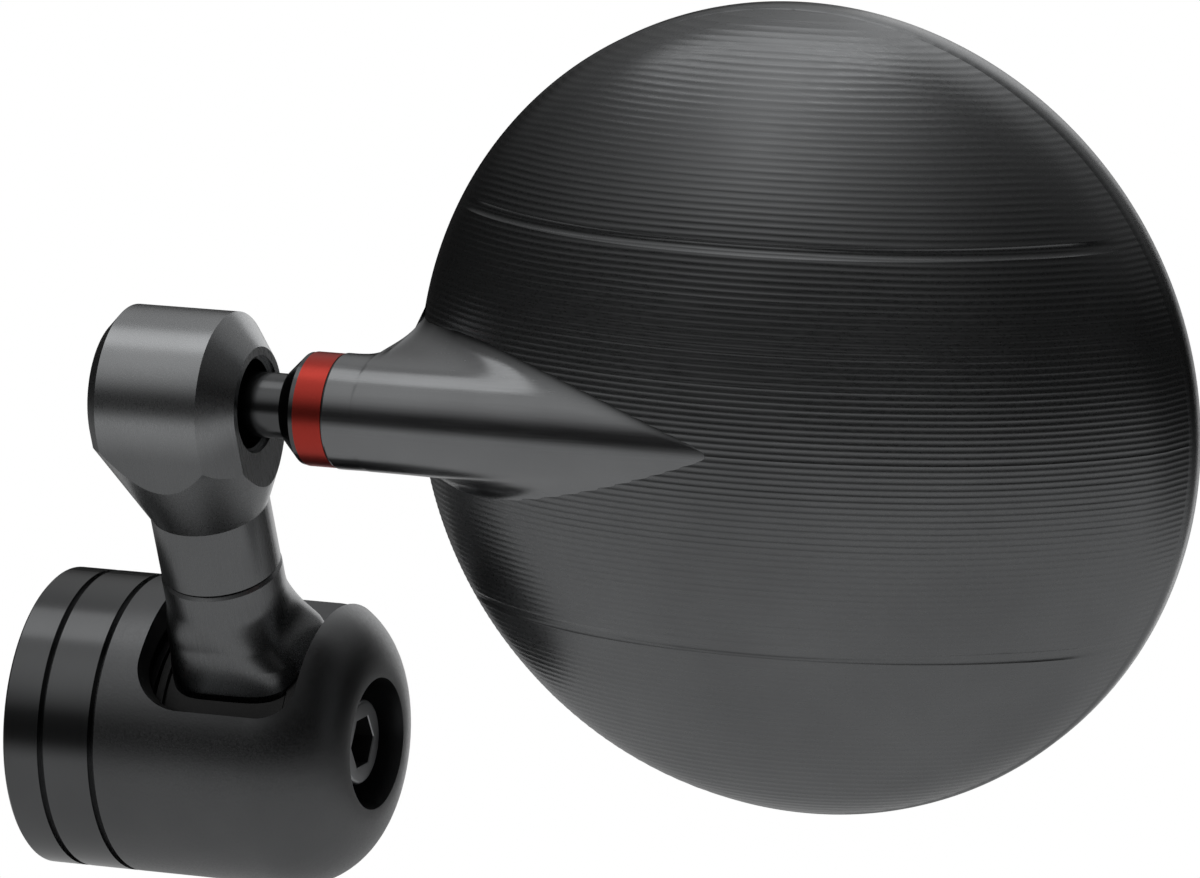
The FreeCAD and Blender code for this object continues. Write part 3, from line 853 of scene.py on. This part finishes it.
        # Radius and depth of the side, the bezel, the wall round the glass, its ledge and the hollow
        rim = np.array([
            (edge + 0.2, edge_y + 0.35), (46.92, edge_y + 0.65), (self.disc_radius, edge_y + 1.1),
            (self.disc_radius, back - 0.35), (46.9, back - 0.1), (46.65, back), (44.95, back),
            (44.8, back - 0.15), (44.8, ledge), (42.0, ledge), (42.0, -4.5), (30.0, -12.5),
            (15.0, -17.4), (1.0, hub_depth),
        ])
        radius = np.repeat(rim[:, :1], len(angle), axis=1)
        depth = np.repeat(rim[:, 1:], len(angle), axis=1)
        swept = np.stack([radius * np.cos(angle), depth, radius * np.sin(angle)], axis=-1)
        m = len(loop)
        added = n * columns + 2 + np.arange(len(rim) * m).reshape(len(rim), m)
        ring = np.concatenate([loop[None, :], added])
        turned = np.roll(ring, -1, axis=1)
        quads.append(np.stack([ring[:-1], turned[:-1], turned[1:], ring[1:]], axis=-1).reshape(-1, 4))
        hub = n * columns + 2 + len(rim) * m
        tris.append(np.stack([ring[-1], turned[-1], np.full(m, hub)], axis=-1))
        points = np.concatenate([base, swept.reshape(-1, 3), [[0.0, hub_depth, 0.0]]])
        skin.add(points + np.array(self.disc_at), np.concatenate(quads), np.concatenate(tris), 0)

    def front(self, x: np.ndarray, w: np.ndarray) -> np.ndarray:
        """Give how far the dome stands in front of the stalk axis.

        Args:
            x: x in the mirror's frame.
            w: z in the mirror's frame.

        Returns:
            Height towards the front in mm.
        """
        r = np.minimum(np.hypot(x - self.disc_at[0], w - self.disc_at[2]), self.edge())
        return -(self.profile(r)[0] + self.disc_at[1])

    def reach(self, x: np.ndarray) -> np.ndarray:
        """Give the stalk's radius, R + l t^2 (3 - 2 t) with t from the rim to just past the tip.

        Args:
            x: Stations in the mirror's frame.

        Returns:
            Radius in mm.
        """
        full_at = 2.6
        start = self.disc_at[0] - self.rim_at
        t = np.clip((x - start) / (self.disc_at[0] - full_at - start), 0.0, 1.0)
        return self.stalk_radius + self.tip_lift * t ** 2 * (3.0 - 2.0 * t)

    def web_half(self, x: np.ndarray, side: float) -> np.ndarray:
        """Give one half of the web's section at each station, from the front line to the dome.

        A ball of radius f that touches the dome and the stalk, or a flank leaning by the draft, sets the
        end on the dome. The stalk's arc runs to the crease, and a cubic with the tangents of stalk and dome
        joins the two. The last point lies under the dome.

        Args:
            x: Stations in the mirror's frame.
            side: +1 for the upper half and -1 for the lower one.

        Returns:
            Array of stations, points and (w, front).
        """
        sunk, tuck, d = 0.07, 0.35, 0.05
        lean = math.radians(self.draft)
        reach = self.reach(x)
        far = reach + self.fillet
        wc = np.full_like(x, far)
        fc = np.zeros_like(x)
        for _ in range(25):
            fc = self.front(x, side * wc) + self.fillet
            on_circle = fc > far * math.sin(lean)
            round_w = np.sqrt(np.clip(far ** 2 - fc ** 2, 0.01, None))
            wc = np.where(on_circle, round_w, (far - math.sin(lean) * fc) / math.cos(lean))
        limit = np.where(on_circle, np.arctan2(wc, fc), math.pi / 2.0 - lean)
        stations, turns = np.array(self.creases).T
        tangent = np.minimum(np.radians(np.interp(x, stations, turns)), limit)
        turn = tangent[:, None] * np.linspace(0.0, 1.0, 22)
        arc = reach[:, None, None] * np.stack([np.sin(turn), np.cos(turn)], axis=-1)
        low = self.front(x, side * wc) - sunk
        slope = (self.front(x, side * (wc + d)) - self.front(x, side * (wc - d))) / (2.0 * d)
        leave = np.stack([np.cos(tangent), -np.sin(tangent)], axis=-1)
        land = np.stack([np.ones_like(x), slope], axis=-1)
        land = land / np.linalg.norm(land, axis=-1, keepdims=True)
        end = np.stack([wc, low], axis=-1)
        pull = np.linalg.norm(end - arc[:, -1], axis=-1)[:, None]
        s = np.linspace(0.0, 1.0, 20)[1:, None, None]
        hollow = (2.0 * s ** 3 - 3.0 * s ** 2 + 1.0) * arc[:, -1]
        hollow = hollow + (s ** 3 - 2.0 * s ** 2 + s) * pull * leave
        hollow = hollow + (3.0 * s ** 2 - 2.0 * s ** 3) * end + (s ** 3 - s ** 2) * pull * land
        hollow = hollow.transpose(1, 0, 2)
        under = np.stack([wc + tuck, self.front(x, side * (wc + tuck)) - tuck], axis=-1)[:, None, :]
        return np.concatenate([arc, hollow, under], axis=1)

    def stalk(self, skin: Skin) -> None:
        """Add the stalk and web as one capped tube of sections across x.

        With t from 0 to 1 over the lead, the share of the web's section is 1 - sqrt(1 - t^2). Near the rim
        the sections bend with it.

        Args:
            skin: Skin that receives the island.
        """
        lead_length, tip_at, bend_length = 2.6, 2.7, 9.0
        end = self.disc_at[0] - self.rim_at
        lead = end - lead_length
        tip = self.disc_at[0] - tip_at
        # Distance from the start and drop of the radius at the broken edge
        brow = np.array([(0.0, 0.3), (0.1, 0.09), (0.3, 0.0)])
        plain = np.append(self.stalk_start + brow[:, 0], lead - 0.02)
        blend = lead + (end - lead) * np.sin(np.linspace(0.0, math.pi / 2.0, 14))
        web = end + (tip - end) * np.linspace(0.0, 1.0, 130)[1:]
        stations = np.concatenate([plain, blend, web])
        inside = np.maximum(stations, end)
        upper = self.web_half(inside, 1.0)
        lower = self.web_half(inside, -1.0)
        loop = np.concatenate([upper, (lower * np.array([-1.0, 1.0]))[:, :0:-1]], axis=1)
        half = upper.shape[1]
        turn = np.linspace(0.0, math.pi, half)
        wrap = np.concatenate([turn, 2.0 * math.pi - turn[:0:-1]])
        radius = self.reach(stations)
        radius[:len(brow)] -= brow[:, 1]
        circle = radius[:, None, None] * np.stack([np.sin(wrap), np.cos(wrap)], axis=-1)[None]
        t = np.clip((stations - lead) / (end - lead), 0.0, 1.0)
        mix = (1.0 - np.sqrt(np.clip(1.0 - t ** 2, 0.0, 1.0)))[:, None, None]
        section = circle * (1.0 - mix) + loop * mix
        bend = self.rim_at - np.sqrt(self.rim_at ** 2 - (section[..., 0] - self.disc_at[2]) ** 2)
        fade = np.clip(1.0 - (stations - end) / bend_length, 0.0, 1.0) * t ** 2
        along = stations[:, None] + bend * fade[:, None]
        rings = np.stack([along, -section[..., 1], section[..., 0]], axis=-1)
        skin.tube(rings, 1)

    def build(self) -> None:
        """Make the shell in place of its CAD node."""
        skin = Skin("machined_shell")
        self.disc(skin)
        self.stalk(skin)
        made = skin.build(MIRROR_POSE, [SHELL_GREY, STALK_GREY], sharp=24.0)
        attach(made, "mirror_head")
        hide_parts("mirror_shell")


def soft_step(h: np.ndarray, high: float, low: float) -> np.ndarray:
    """Give t^2 (3 - 2 t), with t from 0 at the high end to 1 at the low end.

    Args:
        h: Heights in mm.
        high: Height at which the step starts.
        low: Height at which it ends.

    Returns:
        Share of the step, of the shape of h.
    """
    t = np.clip((high - h) / (high - low), 0.0, 1.0)
    return t ** 2 * (3.0 - 2.0 * t)


def soft_hinge(d: np.ndarray, s: float) -> np.ndarray:
    """Give (d + sqrt(d^2 + s^2)) / 2, near 0 where d is negative and near d where it is positive.

    Args:
        d: Distances in mm.
        s: Softness of the bend in mm.

    Returns:
        Array of the shape of d.
    """
    return (d + np.sqrt(d ** 2 + s ** 2)) / 2.0


@dataclass(frozen=True)
class ArmFoot:
    """The foot of the arm: a drum on the bar axis and a flat-sided foot that blends into a round sleeve.

    Args:
        sleeve: Radius of the sleeve in mm.
        top: Height of its end over the bar axis.
        bore: Radius of the bore for the spigot.
        bore_floor: Height of the floor of the bore.
        left: Side of the foot towards the bar.
        right: Side of the foot towards the end, next to the washers.
        wing: How far the foot flares over the washers.
        draft: How much its half depth grows for each mm downwards.
        drum: Radius of the drum.
        bush: Radius of its bore.
        grub: Radius of the hole for the grub screw.
        grub_height: Height of that hole.
    """

    sleeve: float = 7.1
    top: float = 23.2
    bore: float = 4.55
    bore_floor: float = 14.7
    left: float = -6.38
    right: float = 8.75
    wing: float = 10.2
    draft: float = 0.13
    drum: float = 12.3
    bush: float = 10.67
    grub: float = 2.05
    grub_height: float = 18.6

    def shape(self, h: np.ndarray) -> tuple[np.ndarray, np.ndarray, np.ndarray, np.ndarray]:
        """Give the reach to the left and right, the half depth and the power of the section at a height.

        The left side turns flat and the section square by soft steps. The flare, its limit and the draft
        follow soft hinges.

        Args:
            h: Heights in mm.

        Returns:
            Left, right, half depth and power, each of the shape of h.
        """
        flare_top, flare_slope, flare_soft = 16.0, 0.84, 1.6
        fade_top, fade_length = 20.5, 2.0
        draft_top, draft_soft = 15.6, 0.15
        wing_soft, power_gain = 0.5, 2.4
        fade = np.clip((fade_top - h) / fade_length, 0.0, 1.0)
        flare = self.sleeve + flare_slope * soft_hinge(flare_top - h, flare_soft) * fade
        right = self.wing - soft_hinge(self.wing - flare, wing_soft)
        left = self.sleeve - (self.sleeve + self.left) * soft_step(h, high=18.0, low=13.6)
        half = self.sleeve + self.draft * soft_hinge(draft_top - h, draft_soft)
        return left, right, half, 2.0 + power_gain * soft_step(h, high=19.8, low=12.0)

    def section(self, h: np.ndarray) -> np.ndarray:
        """Give the points round the foot at each height.

        x = reach |cos a|^(2/p) and y = half |sin a|^(2/p), with the signs of cosine and sine.

        Args:
            h: Heights in mm, a row for each ring.

        Returns:
            Array of rings, points and x, y, z.
        """
        angle = 2.0 * np.pi * np.arange(h.shape[1]) / h.shape[1]
        c, s = np.cos(angle)[None, :], np.sin(angle)[None, :]
        left, right, half, power = self.shape(h)
        x = np.where(c >= 0.0, right, left) * np.sign(c) * np.abs(c) ** (2.0 / power)
        y = half * np.sign(s) * np.abs(s) ** (2.0 / power)
        return np.stack([x, y, h], axis=-1)

    def foot(self, skin: Skin) -> None:
        """Add the foot with its bore and the hole for the grub screw.

        Rings run up the outside, over the end and down the bore. A window of cells at the back is left out
        on both sides, and loops carry its edge to circles of the hole and through the wall.

        Args:
            skin: Skin that receives the island.
        """
        count, cells_up, cells_side = 96, 16, 6
        skirt_radius, root_radius, brow = 13.0, 11.6, 0.35
        window = np.linspace(15.9, 21.3, cells_up + 1)
        low = np.array([13.3, 13.5, 13.7, 13.9, 14.1, 14.35, 14.6, 14.85, 15.1, 15.35, 15.6])
        outer = np.concatenate([low, window, [21.9, 22.5, self.top - brow]])
        rings = self.section(np.repeat(outer[:, None], count, axis=1))
        drop = np.full((1, count), 12.0)
        for _ in range(5):
            drop = np.sqrt(skirt_radius ** 2 - self.section(drop)[..., 1] ** 2)
        skirt = self.section(drop)[0]
        inset = skirt.copy()
        inset[:, 0] = np.minimum(inset[:, 0], self.right)
        bottom = inset.copy()
        bottom[:, 2] = np.sqrt(root_radius ** 2 - bottom[:, 1] ** 2)
        below = np.stack([bottom, inset, skirt])
        end = [(self.sleeve - brow, self.top), (self.bore, self.top)]
        inner = [(self.bore, height) for height in [*window[::-1], self.bore_floor]]
        radius, height = np.array(end + inner).T[..., None]
        angle = 2.0 * np.pi * np.arange(count) / count
        circles = np.broadcast_arrays(radius * np.cos(angle), radius * np.sin(angle), height)
        grid = np.concatenate([below, rings, np.stack(circles, axis=-1)])
        n = len(grid)
        number = np.arange(n * count).reshape(n, count)
        turned = np.roll(number, -1, axis=1)
        keep = np.ones((n - 1, count), dtype=bool)
        first = len(below) + len(low)
        second = len(below) + len(outer) + len(end)
        cells = slice(count // 4 - cells_side, count // 4 + cells_side)
        keep[first:first + cells_up, cells] = False
        keep[second:second + cells_up, cells] = False
        quads = np.stack([number[:-1], turned[:-1], turned[1:], number[1:]], axis=-1)[keep]
        caps = np.array([[0.0, 0.0, root_radius], [0.0, 0.0, self.bore_floor]])
        tris = np.concatenate([
            np.stack([turned[0], number[0], np.full(count, n * count)], axis=-1),
            np.stack([number[-1], turned[-1], np.full(count, n * count + 1)], axis=-1),
        ])
        columns = np.arange(cells.start, cells.stop + 1)
        up = np.arange(cells_up + 1)
        # Corner numbers round the window, outside and in the bore
        edges = []
        for rows in (first + up, second + up[::-1]):
            block = number[rows][:, columns]
            edges.append(np.concatenate([block[0, :-1], block[:-1, -1], block[-1, :0:-1], block[:0:-1, 0]]))
        out_loop, in_loop = edges
        points = np.concatenate([grid.reshape(-1, 3), caps])
        lean = np.arctan2(points[out_loop, 2] - self.grub_height, points[out_loop, 0])
        x = self.grub * np.cos(lean)
        h = self.grub_height + self.grub * np.sin(lean)
        left, right, half, power = self.shape(h)
        share = np.abs(x) / np.where(x >= 0.0, right, left)
        y_out = half * (1.0 - share ** power) ** (1.0 / power)
        out_ring = np.stack([x, y_out, h], axis=-1)
        in_ring = np.stack([x, np.sqrt(self.bore ** 2 - x ** 2), h], axis=-1)
        m = len(out_loop)
        extra = len(points) + np.arange(2 * m).reshape(2, m)
        loops = np.stack([out_loop, extra[0], extra[1], in_loop])
        spun = np.roll(loops, -1, axis=1)
        wall = np.stack([loops[:-1], spun[:-1], spun[1:], loops[1:]], axis=-1).reshape(-1, 4)
        skin.add(np.concatenate([points, out_ring, in_ring]), np.concatenate([quads, wall]), tris, 0)

    def build(self) -> None:
        """Make the foot in place of its CAD node."""
        skin = Skin("smooth_foot")
        self.foot(skin)
        near, bevel, far = -6.4, 8.6, 8.8
        edge = self.drum - 0.2
        profile = np.array([(self.left + 0.2, self.drum), (bevel, self.drum), (far, edge),
                            (far, self.bush), (near, self.bush), (near, edge)])
        # The drum takes the second slot, painted shade black for the shadow gap between the foot and the
        # window's lower lip
        skin.hoop(turned_rings(profile, steps=120), 1)
        made = skin.build(ARM_POSE, [ARM_GREY, PAINTED_SHADE_BLACK])
        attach(made, "swing_foot")
        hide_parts("arm_foot")


@dataclass(frozen=True)
class ClampScrew:
    """The socket screw in the well of the housing.

    Args:
        tip: Station of its tip on the bar axis in mm.
        seat: Station under the head.
        face: Station of the head's face.
        shank: Radius of the shank.
        head: Radius of the head.
        flats: Width of the hexagon across flats.
        depth: Depth of the hexagon.
    """

    tip: float
    seat: float = 34.2
    face: float = 38.2
    shank: float = 3.0
    head: float = 5.0
    flats: float = 5.6
    depth: float = 2.6

    def build(self) -> None:
        """Make the screw in place of its CAD node, as one tube of rings along x.

        The hexagon's ring has the radius (flats / 2) / cos(b), with b the angle from the middle of its
        flat.
        """
        steps, bevel, brow_radius = 144, 0.3, 0.45
        lip_share, lip_depth = 1.03, 0.12
        corner = np.radians(np.linspace(0.0, 90.0, 6))
        brow = np.stack([self.face - brow_radius + brow_radius * np.sin(corner),
                         self.head - brow_radius + brow_radius * np.cos(corner)], axis=-1)
        profile = np.concatenate([
            [(self.tip, self.shank - bevel), (self.tip + bevel, self.shank)],
            [(self.seat - 0.01, self.shank), (self.seat, self.shank + 0.05)],
            [(self.seat, self.head - 0.1), (self.seat + 0.1, self.head)],
            brow,
        ])
        rings = turned_rings(profile, steps)
        angle = 2.0 * np.pi * np.arange(steps) / steps
        flat = np.pi / 3.0
        off = np.mod(angle + flat / 2.0, flat) - flat / 2.0
        reach = self.flats / 2.0 / np.cos(off)
        hexagon = np.stack([np.zeros(steps), reach * np.sin(angle), reach * np.cos(angle)], axis=-1)
        lip = hexagon * np.array([0.0, lip_share, lip_share]) + np.array([self.face, 0.0, 0.0])
        rim = hexagon + np.array([self.face - lip_depth, 0.0, 0.0])
        floor = hexagon + np.array([self.face - self.depth, 0.0, 0.0])
        skin = Skin("socket_screw")
        skin.tube(np.concatenate([rings, lip[None], rim[None], floor[None]]), 0)
        # The wall and the floor of the hexagon take the second slot, painted shade black for the shade in
        # the socket
        skin.quad_slots[-1][-steps:] = 1
        skin.tri_slots[-1][-steps:] = 1
        made = skin.build(BASE_POSE, [SCREW_STEEL, PAINTED_SHADE_BLACK])
        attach(made, "bar_end_base")
        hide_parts("clamp_screw")


def dress_cad(nodes: dict[str, bpy.types.Object]) -> None:
    """Give each CAD node its finish.

    Args:
        nodes: CAD objects by node name.
    """
    made: dict[str, bpy.types.Material] = {}
    for name, obj in nodes.items():
        finish = CAD_FINISHES[name]
        if finish.name not in made:
            made[finish.name] = finish.material()
        obj.data.materials.clear()
        obj.data.materials.append(made[finish.name])


def main() -> None:
    """Build the stage, dress the frame and add the pieces."""
    logging.basicConfig(level=logging.INFO)
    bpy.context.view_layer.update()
    dress_cad(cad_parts)
    MirrorHead().build()
    ArmFoot().build()
    ClampScrew(tip=9.2).build()
    Studio().build()


if __name__ == "__main__":
    main()
